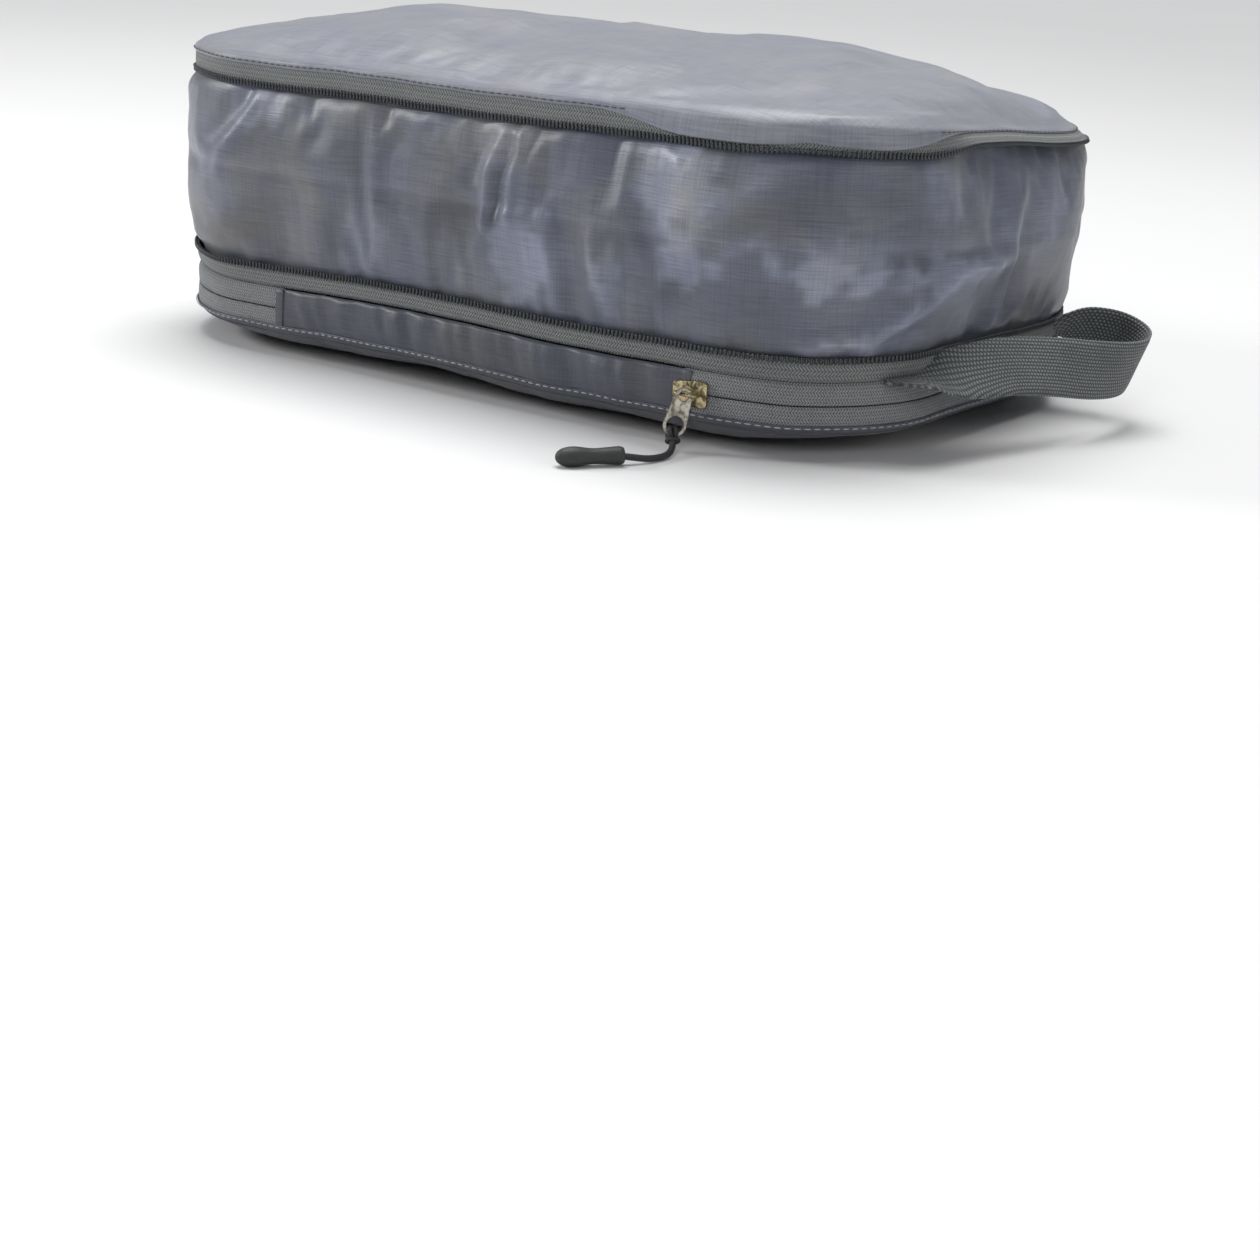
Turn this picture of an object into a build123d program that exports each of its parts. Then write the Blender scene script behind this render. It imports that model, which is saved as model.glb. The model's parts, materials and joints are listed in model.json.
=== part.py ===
"""Compression packing cube: a soft zipped box, 313 x 194 mm in plan and 124 mm tall.

Row frame: origin on the flat it rests on, under the middle of the plan; +X along the
long side towards the handle, -Y towards the hinged long side, +Z up. Millimetres.
Fabric walls are closed solids about 1 mm thick.
"""
from build123d import *
import math
import os

# ---- plan ----
LENGTH = 313.0
WIDTH = 194.0
CORNER = 58.0

# ---- levels ----
LID_SEAM = 11.0
ZIP_LEVEL = 18.5
MID_SEAM = 26.0
LOW_COIL = 33.5
HIGH_COIL = 97.0
RIM = 107.0
DOME = 17.0

# ---- layers, measured inwards from the outer face of the tapes ----
TAPE = 0.9
PANEL = 1.2
GUSSET_IN = 2.6
GUSSET = 1.0
BINDING_IN = 4.0
BINDING = 1.0
GAP = 0.3
SMALL_GAP = 0.2

# ---- zips ----
COIL_DEEP = 1.6
COIL_WIDE = 1.5
COIL_PROUD = 1.3
SLIT = 1.6
ZIP_LEFT = -80.0
ZIP_RIGHT = 95.0
SPLIT_X = 108.6
END_TAB = 3.0

# ---- slider and pull tab ----
SLIDER_LONG = 13.0
SLIDER_WIDE = 8.6
PLATE = 1.1
NECK_LONG = 3.0
NECK_WIDE = 1.2
BAIL_HALF = 3.9
BAIL_RISE = 3.0
BAIL_R = 0.6
TAB_THICK = 1.0
TAB_TOP_R = 2.8
TAB_EYE_R = 1.7
TAB_LOW_R = 3.9
TAB_HOLE_R = 2.8
TAB_REACH = 9.6
TAB_DROP = 0.5
TAB_TURN = 45.0
TAB_LEAN = 14.0

# ---- pull cord ----
CORD_D = 2.2
LOOP_R = 2.2
LOOP_D = 2.0
END_LONG = 22.0
END_R = 3.1
END_IN = 9.0

# ---- handle ----
WEB_WIDE = 20.0
WEB_THICK = 1.4
ROOT_Y = 52.0
ROOT_REACH = 15.0
ROOT_CLEAR = 0.8

# ---- compression slider ----
SQUEEZE_X = 66.0
SQUEEZE_LEVEL = LOW_COIL + 2.1
RETAINER_X = 77.0
RETAINER_LONG = 5.0
PIN_LONG = 9.5

HALF_L = LENGTH / 2
HALF_W = WIDTH / 2
STRAIGHT_X = HALF_L - CORNER
STRAIGHT_Y = HALF_W - CORNER


def outline(inset):
    """The cube's plan, moved inwards by inset."""
    return RectangleRounded(LENGTH - 2 * inset, WIDTH - 2 * inset, CORNER - inset)


def block(inset, low, high):
    """A solid plug of the plan between two levels."""
    return Pos(0, 0, low) * extrude(outline(inset), amount=high - low)


def ring(inset, thick, low, high):
    """A wall that follows the plan all the way round."""
    return block(inset, low, high) - block(inset + thick, low, high)


def box_between(low, high):
    """An upright box from its lowest and highest corners."""
    size = [b - a for a, b in zip(low, high)]
    middle = [(a + b) / 2 for a, b in zip(low, high)]
    return Pos(*middle) * Box(*size)


def front_strip(left, right):
    """The space of the front long side between two places along X."""
    return box_between((left, -WIDTH, -10), (right, 0, RIM + 50))


def lid_panel():
    """Bottom panel: a shallow tray that curves up to its seam."""
    curve = LID_SEAM - 1.5
    outer = block(SMALL_GAP, 0, LID_SEAM - SMALL_GAP)
    outer = fillet(outer.faces().sort_by(Axis.Z)[0].edges(), curve)
    inner = block(SMALL_GAP + PANEL, PANEL, LID_SEAM)
    inner = fillet(inner.faces().sort_by(Axis.Z)[0].edges(), curve - PANEL)
    return outer - inner


def top_panel():
    """Domed top panel: a thin cap of two slopes above a short straight rim."""
    def cap(inset, low):
        steep = DOME * 0.45
        first = Pos(0, 0, low) * extrude(outline(inset), amount=steep, taper=62)
        upper = first.faces().sort_by(Axis.Z)[-1]
        second = extrude(upper, amount=DOME - steep, taper=66)
        return first + second

    skirt = block(0, RIM - SMALL_GAP, RIM + 0.5)
    outer = skirt + cap(0, RIM + 0.5)
    inner = block(PANEL, RIM - 1, RIM + 0.5 - PANEL * 0.4) + cap(PANEL, RIM + 0.5 - PANEL * 0.4)
    return outer - inner


def main_zip_ring(low, high):
    return ring(0, TAPE, low, high)


def main_coil_ring(low):
    return ring(TAPE + 0.1, COIL_DEEP, low, low + COIL_WIDE)


def slider(outer_clear, inner_depth, flanges_in):
    """A slider body at the origin: travel along X, across along Z, outside towards -Y."""
    def plate(depth):
        half = SLIDER_LONG / 2
        shape = Polygon(
            (-half, -SLIDER_WIDE * 0.36),
            (half * 0.35, -SLIDER_WIDE / 2),
            (half, -SLIDER_WIDE / 2),
            (half, SLIDER_WIDE / 2),
            (half * 0.35, SLIDER_WIDE / 2),
            (-half, SLIDER_WIDE * 0.36),
            align=None,
        )
        shape = fillet(shape.vertices(), 1.3)
        solid = extrude(Plane((0, depth, 0), x_dir=(1, 0, 0), z_dir=(0, -1, 0)) * shape, amount=PLATE)
        return solid

    outer = plate(-outer_clear)
    outer = fillet(outer.faces().sort_by(Axis.Y)[0].edges(), 0.35)
    inner = plate(inner_depth + PLATE)
    neck_low = -outer_clear - PLATE * 0.5
    neck_x = SLIDER_LONG / 2 - NECK_LONG - 0.6
    neck = box_between(
        (neck_x, neck_low, -NECK_WIDE / 2),
        (neck_x + NECK_LONG, inner_depth + PLATE * 0.5, NECK_WIDE / 2),
    )
    body = outer + inner + neck
    for side in (-1, 1):
        lip_z = side * (SLIDER_WIDE / 2 - 0.45)
        lip = box_between(
            (SLIDER_LONG * 0.18, inner_depth - flanges_in, lip_z - 0.4),
            (SLIDER_LONG * 0.42, inner_depth + PLATE * 0.5, lip_z + 0.4),
        )
        body = body + lip
    return body


def bail(outer_clear):
    """The arched bar on a slider that the pull tab hangs from."""
    foot = -outer_clear - PLATE
    top = foot - BAIL_RISE
    path = FilletPolyline(
        (-BAIL_HALF, foot, 0),
        (-BAIL_HALF, top, 0),
        (BAIL_HALF, top, 0),
        (BAIL_HALF, foot, 0),
        radius=1.2,
    )
    return sweep(Plane(origin=path @ 0, z_dir=path % 0) * Circle(BAIL_R), path=path)


def pull_tab():
    """Flat tab in the XZ plane: eye centre at the origin, cord hole below."""
    shape = make_hull(
        [
            *Circle(TAB_TOP_R).edges(),
            *(Pos(0, -TAB_REACH) * Circle(TAB_LOW_R)).edges(),
        ]
    )
    shape = shape - Circle(TAB_EYE_R) - Pos(0, -TAB_REACH) * Circle(TAB_HOLE_R)
    solid = extrude(Plane.XZ * shape, amount=TAB_THICK / 2, both=True)
    flats = solid.faces().filter_by(Axis.Y)
    return chamfer(flats.edges(), 0.15)


# ---- placing the main slider, its tab and its cord ----
OUTER_CLEAR = GAP
MAIN_INNER = TAPE + 0.1 + COIL_DEEP + 0.8
MAIN_PLACE = Pos(STRAIGHT_X, -HALF_W, ZIP_LEVEL)
MAIN_BAIL_Y = -HALF_W - OUTER_CLEAR - PLATE - BAIL_RISE
TAB_PLACE = (
    Pos(STRAIGHT_X, MAIN_BAIL_Y, ZIP_LEVEL - TAB_DROP)
    * Rot(0, 0, TAB_TURN)
    * Rot(0, TAB_LEAN, 0)
)
RIM_BELOW = TAB_REACH + (TAB_LOW_R + TAB_HOLE_R) / 2
LOOP_PLACE = TAB_PLACE * Pos(0, 0, -RIM_BELOW)

# The cord leaves the loop, drops to the resting surface and ends inside its moulded end.
CORD_ROUTE = [
    (97.9, -105.2, 3.9),
    (99.9, -108.0, 2.5),
    (101.3, -112.4, 1.3),
    (101.4, -117.6, 1.2),
    (100.0, -123.0, 1.5),
    (97.2, -128.2, 2.6),
    (93.9, -132.9, 3.2),
    (90.6, -137.3, 3.2),
]


def route_radii(points):
    """One arc radius for each corner: 0.45 of the shorter run over the tangent of half the turn."""
    radii = []
    for a, b, c in zip(points, points[1:], points[2:]):
        first = Vector(*b) - Vector(*a)
        second = Vector(*c) - Vector(*b)
        half_turn = math.radians(first.get_angle(second)) / 2
        radii.append(0.45 * min(first.length, second.length) / math.tan(half_turn))
    return radii


def cord_tube():
    radii = route_radii(CORD_ROUTE)
    path = FilletPolyline(*CORD_ROUTE, radius=radii)
    tube = sweep(Plane(origin=path @ 0, z_dir=path % 0) * Circle(CORD_D / 2), path=path)
    section = math.pi * CORD_D**2 / 4
    print("cord radii", [round(r, 1) for r in radii], "length", round(path.length, 2))
    print("cord volume over section x length", round(tube.volume / (section * path.length), 4))
    return tube


def cord_end():
    """Moulded end: a round sleeve with a waist and a bulb, along the cord's last run."""
    mouth = Vector(*CORD_ROUTE[-1])
    away = (mouth - Vector(*CORD_ROUTE[-2])).normalized()
    start = mouth - away * END_IN
    with BuildPart() as end:
        with BuildSketch(Plane.XZ):
            with BuildLine():
                Polyline((0, 0), (2.6, 0), (END_R - 0.2, 1.0))
                Spline(
                    (END_R - 0.2, 1.0),
                    (END_R - 0.5, END_LONG * 0.5),
                    (END_R, END_LONG - 4.0),
                    (0, END_LONG),
                    tangents=((0, 1), (-1, 0)),
                )
                Line((0, END_LONG), (0, 0))
            make_face()
        revolve(axis=Axis.Z)
    return Plane(origin=start, z_dir=away) * end.part


def handle():
    """Webbing loop: two flat roots beside the short end, and an upright bow between them."""
    x_root = HALF_L + ROOT_REACH
    roots = []
    for side in (-1, 1):
        y = side * ROOT_Y
        slab = box_between(
            (HALF_L - CORNER / 2, y - WEB_WIDE / 2, MID_SEAM - WEB_THICK / 2),
            (x_root, y + WEB_WIDE / 2, MID_SEAM + WEB_THICK / 2),
        )
        roots.append(slab - block(-ROOT_CLEAR, 0, RIM))
    bow = FilletPolyline(
        (HALF_L + 11.5, -50.0, MID_SEAM),
        (HALF_L + 21.0, -28.0, MID_SEAM),
        (HALF_L + 33.0, 8.0, MID_SEAM),
        (HALF_L + 38.0, 48.0, MID_SEAM),
        (HALF_L + 30.0, 67.0, MID_SEAM),
        (HALF_L + 15.5, 66.0, MID_SEAM),
        (HALF_L + 11.5, 50.0, MID_SEAM),
        radius=[30, 40, 20, 8, 8],
    )
    section = Plane(origin=bow @ 0, x_dir=(0, 0, 1), z_dir=bow % 0) * Rectangle(WEB_WIDE, WEB_THICK)
    return sweep(section, path=bow) + roots[0] + roots[1]


def coil_gap():
    """Where the compression zip starts and ends on the back."""
    return box_between((RETAINER_X - 6, 0, LOW_COIL - 10), (RETAINER_X + 12, WIDTH, HIGH_COIL + 10))


def build():
    nodes = {}
    lower_edge = ZIP_LEVEL - SLIT / 2
    upper_edge = ZIP_LEVEL + SLIT / 2
    front = front_strip(-SPLIT_X + SMALL_GAP, SPLIT_X - SMALL_GAP)
    strip_space = front_strip(ZIP_LEFT, ZIP_RIGHT)
    zip_free = front_strip(ZIP_LEFT - END_TAB, ZIP_RIGHT + END_TAB)

    # lid: everything below the opening zip, and the fabric hinge on the front
    nodes["lid_panel"] = lid_panel()
    nodes["lid_seam_binding"] = ring(1.8, BINDING, LID_SEAM - 2, LID_SEAM + 3)
    nodes["main_zip_tape_lower"] = main_zip_ring(LID_SEAM, lower_edge) - zip_free
    nodes["main_zip_coil_lower"] = main_coil_ring(lower_edge - COIL_WIDE) - zip_free
    nodes["hinge_strip"] = main_zip_ring(LID_SEAM, MID_SEAM - GAP) & strip_space
    tabs = main_zip_ring(LID_SEAM, MID_SEAM - GAP) & zip_free
    nodes["zip_end_tabs"] = tabs - front_strip(ZIP_LEFT - SMALL_GAP, ZIP_RIGHT + SMALL_GAP)
    ends = front - front_strip(ZIP_LEFT - END_TAB - SMALL_GAP, ZIP_RIGHT + END_TAB + SMALL_GAP)
    nodes["main_zip_tape_front"] = main_zip_ring(upper_edge, MID_SEAM - GAP) & ends
    nodes["main_zip_coil_front"] = main_coil_ring(upper_edge) & ends

    # tub: everything between the opening zip and the compression zip's lower half
    tub_front = front_strip(-SPLIT_X, SPLIT_X)
    nodes["main_zip_tape_upper"] = main_zip_ring(upper_edge, MID_SEAM - SMALL_GAP) - tub_front
    nodes["main_zip_coil_upper"] = main_coil_ring(upper_edge) - tub_front
    nodes["compression_tape_lower"] = ring(0, TAPE, MID_SEAM, LOW_COIL)
    low_coil = ring(-COIL_PROUD, COIL_PROUD - 0.05, LOW_COIL - COIL_WIDE, LOW_COIL)
    nodes["compression_coil_lower"] = low_coil - coil_gap()
    nodes["gusset"] = ring(GUSSET_IN, GUSSET, MID_SEAM + GAP, RIM - GAP)
    nodes["tub_seam_binding"] = ring(BINDING_IN, BINDING, MID_SEAM - 2, MID_SEAM + 3)
    nodes["retainer_box"] = box_between(
        (RETAINER_X, HALF_W + 0.1, LOW_COIL - 3.5),
        (RETAINER_X + RETAINER_LONG, HALF_W + 2.3, LOW_COIL + 4.0),
    )
    nodes["compression_end_stop"] = box_between(
        (RETAINER_X + 9, HALF_W + 0.1, LOW_COIL - 2.5),
        (RETAINER_X + 11.5, HALF_W + 1.9, LOW_COIL + 0.5),
    )

    # top: the domed panel with the compression zip's upper half
    nodes["top_panel"] = top_panel()
    nodes["compression_tape_upper"] = ring(0, TAPE, HIGH_COIL, RIM - 0.4)
    high_coil = ring(-COIL_PROUD, COIL_PROUD - 0.05, HIGH_COIL, HIGH_COIL + COIL_WIDE)
    nodes["compression_coil_upper"] = high_coil - coil_gap()
    nodes["top_seam_binding"] = ring(BINDING_IN, BINDING, RIM - 3, RIM + 1)
    nodes["insertion_pin"] = box_between(
        (RETAINER_X + 1.6, HALF_W + 0.1, HIGH_COIL - 2.0),
        (RETAINER_X + 3.2, HALF_W + 1.5, HIGH_COIL - 2.0 + PIN_LONG),
    )

    nodes["handle_webbing"] = handle()

    # opening zip's slider, tab and cord
    nodes["main_slider"] = MAIN_PLACE * slider(OUTER_CLEAR, MAIN_INNER, 1.6)
    nodes["main_slider_bail"] = MAIN_PLACE * bail(OUTER_CLEAR)
    nodes["main_pull_tab"] = TAB_PLACE * pull_tab()
    nodes["cord_loop"] = LOOP_PLACE * Rot(0, 90, 0) * Torus(LOOP_R, LOOP_D / 2)
    nodes["main_cord"] = cord_tube()
    nodes["cord_end"] = cord_end()

    # compression zip's slider on the back, turned to face outwards there
    back = Pos(SQUEEZE_X, HALF_W, SQUEEZE_LEVEL) * Rot(0, 0, 180)
    squeeze_clear = COIL_PROUD + GAP
    nodes["compression_slider"] = back * slider(squeeze_clear, TAPE + 0.25, 0.0)
    nodes["compression_slider_bail"] = back * bail(squeeze_clear)
    tab_back = Pos(0, -squeeze_clear - PLATE - BAIL_RISE, -TAB_DROP) * Rot(0, 0, TAB_TURN)
    nodes["compression_pull_tab"] = back * tab_back * pull_tab()
    return nodes


if __name__ == "__main__":
    os.makedirs("parts", exist_ok=True)
    for name, shape in build().items():
        export_step(Compound(children=list(shape.solids())), f"parts/{name}.step")
    print("loop centre", LOOP_PLACE.position, "bail y", MAIN_BAIL_Y)
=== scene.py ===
import json
import math

import bmesh
import bpy
from mathutils import Matrix, Vector, noise


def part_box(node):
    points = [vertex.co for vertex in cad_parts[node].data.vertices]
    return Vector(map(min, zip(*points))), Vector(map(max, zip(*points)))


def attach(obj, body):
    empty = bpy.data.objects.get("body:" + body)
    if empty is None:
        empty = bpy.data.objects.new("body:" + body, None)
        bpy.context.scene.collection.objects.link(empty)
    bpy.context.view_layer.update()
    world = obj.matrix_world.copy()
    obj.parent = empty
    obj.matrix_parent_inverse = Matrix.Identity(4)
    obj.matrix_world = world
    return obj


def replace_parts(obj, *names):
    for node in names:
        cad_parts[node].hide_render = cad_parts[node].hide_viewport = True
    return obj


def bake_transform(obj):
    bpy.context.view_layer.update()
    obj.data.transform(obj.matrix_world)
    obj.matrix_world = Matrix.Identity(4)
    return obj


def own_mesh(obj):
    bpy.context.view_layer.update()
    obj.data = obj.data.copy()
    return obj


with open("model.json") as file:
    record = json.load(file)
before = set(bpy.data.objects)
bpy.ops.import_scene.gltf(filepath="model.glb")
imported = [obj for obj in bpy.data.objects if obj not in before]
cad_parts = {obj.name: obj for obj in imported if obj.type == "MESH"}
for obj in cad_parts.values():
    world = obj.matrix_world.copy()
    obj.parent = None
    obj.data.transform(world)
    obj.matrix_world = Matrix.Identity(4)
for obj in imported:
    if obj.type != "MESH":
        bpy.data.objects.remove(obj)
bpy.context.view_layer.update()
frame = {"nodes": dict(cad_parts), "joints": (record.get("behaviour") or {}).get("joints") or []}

# A compression packing cube. Metres; +X is the long side towards the handle, -Y the
# hinged long side, +Z up. The fabric is built round the CAD frame's levels and plan.

MM = 0.001

# ---- places read from the frame ----
LOW_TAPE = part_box("compression_tape_lower")
HALF_L, HALF_W = LOW_TAPE[1].x, LOW_TAPE[1].y
MID_SEAM, LOW_COIL = LOW_TAPE[0].z, LOW_TAPE[1].z
HIGH_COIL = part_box("compression_tape_upper")[0].z
RIM, DOME_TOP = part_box("top_panel")[0].z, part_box("top_panel")[1].z
LID_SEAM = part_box("main_zip_tape_lower")[0].z
ZIP_LEFT, ZIP_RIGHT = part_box("hinge_strip")[0].x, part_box("hinge_strip")[1].x
JOINTS = {joint["name"]: joint for joint in frame["joints"]}
CORNER_AT = JOINTS["main_zip_travel"]["pos_m"]
SIDE_X, SIDE_Y, ZIP_LEVEL = CORNER_AT[0], -CORNER_AT[1], CORNER_AT[2]
CORNER = HALF_L - SIDE_X
ARC = CORNER * math.pi / 2
HALF_ROUND = 2 * SIDE_X + 2 * SIDE_Y + 2 * ARC
SQUEEZE_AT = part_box("compression_slider")
SQUEEZE_X = (SQUEEZE_AT[0].x + SQUEEZE_AT[1].x) / 2

# ---- fabric and zip sizes ----
TAPE_THICK = 0.55 * MM
CLOTH_THICK = 0.25 * MM
TOOTH_PITCH = 1.52 * MM
STITCH_PITCH = 3.1 * MM
RIPSTOP_HALF_PITCH = 2.4 * MM
RING_STEP = 2.4 * MM


# ---------------------------------------------------------------- camera and light

def make_camera():
    """Stands to the right of the front, a little above the cube, and leans slightly."""
    azimuth, elevation = math.radians(34.95), math.radians(9.8)
    pitch, yaw, roll = math.radians(-8.94), math.radians(-0.74), math.radians(3.0)
    distance = 0.8686
    aim = Vector((0, 0, LOW_COIL))
    back = Vector((
        math.sin(azimuth) * math.cos(elevation),
        -math.cos(azimuth) * math.cos(elevation),
        math.sin(elevation),
    ))
    facing = (-back).to_track_quat("-Z", "Y").to_matrix()
    turned = facing @ Matrix.Rotation(pitch, 3, "X") @ Matrix.Rotation(yaw, 3, "Y")
    turned = turned @ Matrix.Rotation(roll, 3, "Z")
    camera = bpy.data.objects.new("camera", bpy.data.cameras.new("camera"))
    camera.matrix_world = Matrix.Translation(aim + back * distance) @ turned.to_4x4()
    camera.data.sensor_width = 36
    camera.data.lens = 65.4
    camera.data.clip_start, camera.data.clip_end = 0.01, 50
    bpy.context.scene.collection.objects.link(camera)
    bpy.context.scene.camera = camera


def area_light(name, place, aim, size, power):
    lamp = bpy.data.objects.new(name, bpy.data.lights.new(name, "AREA"))
    lamp.data.shape = "RECTANGLE"
    lamp.data.size, lamp.data.size_y = size
    lamp.data.energy = power
    lamp.location = place
    lamp.rotation_euler = (Vector(aim) - Vector(place)).to_track_quat("-Z", "Y").to_euler()
    bpy.context.scene.collection.objects.link(lamp)


def make_studio():
    world = bpy.data.worlds.new("studio")
    world.use_nodes = True
    background = world.node_tree.nodes["Background"]
    background.inputs["Color"].default_value = (0.93, 0.95, 1.0, 1)
    background.inputs["Strength"].default_value = 0.22
    bpy.context.scene.world = world
    bpy.context.scene.view_settings.view_transform = "Standard"
    area_light("top_softbox", (-0.15, 0.3, 1.2), (0, 0, 0.05), (0.9, 0.6), 7)
    area_light("left_softbox", (-1.25, -0.75, 0.7), (0, 0, 0.07), (0.35, 0.35), 12)
    area_light("front_softbox", (0.55, -1.35, 0.7), (0, 0, 0.07), (0.3, 0.45), 4)
    area_light("right_strip", (1.4, -0.2, 0.6), (0.1, 0, 0.06), (0.25, 0.6), 3)
    sky = bpy.data.objects.new("overhead_light", bpy.data.lights.new("overhead_light", "SUN"))
    sky.data.energy = 2.6
    sky.data.angle = math.radians(50)
    sky.rotation_euler = (math.radians(-12), math.radians(-8), 0)
    bpy.context.scene.collection.objects.link(sky)


def make_floor():
    bm = bmesh.new()
    bmesh.ops.create_grid(bm, x_segments=2, y_segments=2, size=4)
    floor = finish_piece(bm, "floor", plain_floor())


# ---------------------------------------------------------------- materials

def wire(tree, value, socket):
    if isinstance(value, bpy.types.NodeSocket):
        tree.links.new(value, socket)
    else:
        socket.default_value = value


def add(tree, kind, **inputs):
    node = tree.nodes.new(kind)
    for name, value in inputs.items():
        wire(tree, value, node.inputs[name.replace("_", " ")])
    return node


def calc(tree, operation, *values):
    node = tree.nodes.new("ShaderNodeMath")
    node.operation = operation
    for value, socket in zip(values, node.inputs):
        wire(tree, value, socket)
    return node.outputs[0]


def blend_colors(tree, amount, first, second):
    node = tree.nodes.new("ShaderNodeMix")
    node.data_type = "RGBA"
    wire(tree, amount, node.inputs[0])
    wire(tree, first, node.inputs[6])
    wire(tree, second, node.inputs[7])
    return node.outputs[2]


def new_material(name, roughness, metallic=0.0):
    material = bpy.data.materials.new(name)
    material.use_nodes = True
    tree = material.node_tree
    shader = tree.nodes["Principled BSDF"]
    shader.inputs["Roughness"].default_value = roughness
    shader.inputs["Metallic"].default_value = metallic
    return material, tree, shader


def cloth_axes(tree):
    """The two directions along the cloth in metres, from the piece's own UV map."""
    uv = tree.nodes.new("ShaderNodeUVMap")
    uv.uv_map = "weave"
    split = add(tree, "ShaderNodeSeparateXYZ", Vector=uv.outputs[0])
    return split.outputs[0], split.outputs[1]


def streaks(tree, along, across, long, fine, detail=2.0):
    """Noise drawn out along one direction: long streaks, fine across."""
    place = add(
        tree,
        "ShaderNodeCombineXYZ",
        X=calc(tree, "DIVIDE", along, long),
        Y=calc(tree, "DIVIDE", across, fine),
    )
    return add(
        tree, "ShaderNodeTexNoise", Vector=place.outputs[0], Scale=1.0, Detail=detail
    ).outputs[0]


def cloud(tree, size, detail=2.0, distortion=0.0):
    """Soft noise over the object, in patches of about that size."""
    place = tree.nodes.new("ShaderNodeTexCoord").outputs["Object"]
    return add(
        tree,
        "ShaderNodeTexNoise",
        Vector=place,
        Scale=1.0 / size,
        Detail=detail,
        Distortion=distortion,
    ).outputs[0]


def spread(tree, value, low, high):
    """Value stretched so that low becomes 0 and high becomes 1."""
    node = add(tree, "ShaderNodeMapRange", Value=value)
    node.inputs["From Min"].default_value = low
    node.inputs["From Max"].default_value = high
    return node.outputs[0]


def bump(tree, shader, height, distance, strength=1.0):
    node = add(tree, "ShaderNodeBump", Height=height, Strength=strength, Distance=distance)
    wire(tree, node.outputs[0], shader.inputs["Normal"])


def ripstop(name, slate, painted_sheen_tone, roughness):
    """Thin silky nylon: fine streaks both ways, a faint grid, and patches of a warmer tone that are
    painted sheen, with the colour scaled by a "fold" attribute as painted light and shade where a
    piece has one.
    """
    material, tree, shader = new_material(name, roughness)
    u, v = cloth_axes(tree)
    level = streaks(tree, u, v, 14 * MM, 0.42 * MM, 3.0)
    upright = streaks(tree, v, u, 16 * MM, 0.5 * MM, 3.0)
    level_part = calc(tree, "MULTIPLY", level, 0.65)
    upright_part = calc(tree, "MULTIPLY", upright, 0.35)
    thread = calc(tree, "ADD", level_part, upright_part)
    grid_u = calc(tree, "PINGPONG", u, RIPSTOP_HALF_PITCH)
    grid_v = calc(tree, "PINGPONG", v, RIPSTOP_HALF_PITCH)
    grid = calc(tree, "LESS_THAN", calc(tree, "MINIMUM", grid_u, grid_v), 0.16 * MM)
    # random patches of a warmer tone: painted sheen
    patches = spread(tree, cloud(tree, 30 * MM, 4.0, 0.4), 0.44, 0.72)
    base = blend_colors(tree, patches, (*slate, 1), (*painted_sheen_tone, 1))
    # the "fold" attribute scales the colour up and down as painted light and shade
    fold = tree.nodes.new("ShaderNodeAttribute")
    fold.attribute_name = "fold"
    tone = calc(tree, "MULTIPLY_ADD", thread, 1.5, 0.25)
    tone = calc(tree, "MULTIPLY", tone, calc(tree, "MULTIPLY_ADD", fold.outputs["Fac"], 0.85, 0.9))
    tone = calc(tree, "SUBTRACT", tone, calc(tree, "MULTIPLY", grid, 0.07))
    toned = add(tree, "ShaderNodeVectorMath", Vector=base)
    toned.operation = "SCALE"
    wire(tree, tone, toned.inputs["Scale"])
    wire(tree, toned.outputs[0], shader.inputs["Base Color"])
    gloss = calc(tree, "MULTIPLY_ADD", patches, 0.06, roughness - 0.1)
    gloss = calc(tree, "MULTIPLY_ADD", thread, 0.16, gloss)
    gloss = calc(tree, "MULTIPLY_ADD", fold.outputs["Fac"], -0.05, gloss)
    wire(tree, gloss, shader.inputs["Roughness"])
    height = calc(tree, "ADD", thread, calc(tree, "MULTIPLY", grid, 0.35))
    bump(tree, shader, height, 0.22 * MM, 0.55)
    shader.inputs["Specular IOR Level"].default_value = 0.54
    shader.inputs["Sheen Weight"].default_value = 0.18
    shader.inputs["Sheen Roughness"].default_value = 0.4
    return material


def herringbone(name, color, light, pitch, row):
    """Woven zip tape: slanted strokes that turn back in every row."""
    material, tree, shader = new_material(name, 0.7)
    u, v = cloth_axes(tree)
    zigzag = calc(tree, "PINGPONG", v, row)
    slant = calc(tree, "DIVIDE", calc(tree, "MULTIPLY_ADD", zigzag, 0.9, u), pitch)
    stroke = calc(tree, "SINE", calc(tree, "MULTIPLY", slant, 2 * math.pi))
    stroke = calc(tree, "MULTIPLY_ADD", stroke, 0.5, 0.5)
    rib = calc(tree, "SINE", calc(tree, "MULTIPLY", calc(tree, "DIVIDE", v, row), math.pi))
    rib = calc(tree, "ABSOLUTE", rib)
    fuzz = cloud(tree, 0.8 * MM, 2.0)
    height = calc(tree, "MULTIPLY", stroke, calc(tree, "MULTIPLY_ADD", rib, 0.6, 0.4))
    tint = calc(tree, "MULTIPLY_ADD", height, 0.8, calc(tree, "MULTIPLY", fuzz, 0.35))
    wire(tree, blend_colors(tree, tint, (*color, 1), (*light, 1)), shader.inputs["Base Color"])
    bump(tree, shader, calc(tree, "ADD", height, calc(tree, "MULTIPLY", fuzz, 0.3)), 0.35 * MM, 0.8)
    shader.inputs["Sheen Weight"].default_value = 0.15
    return material


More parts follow.
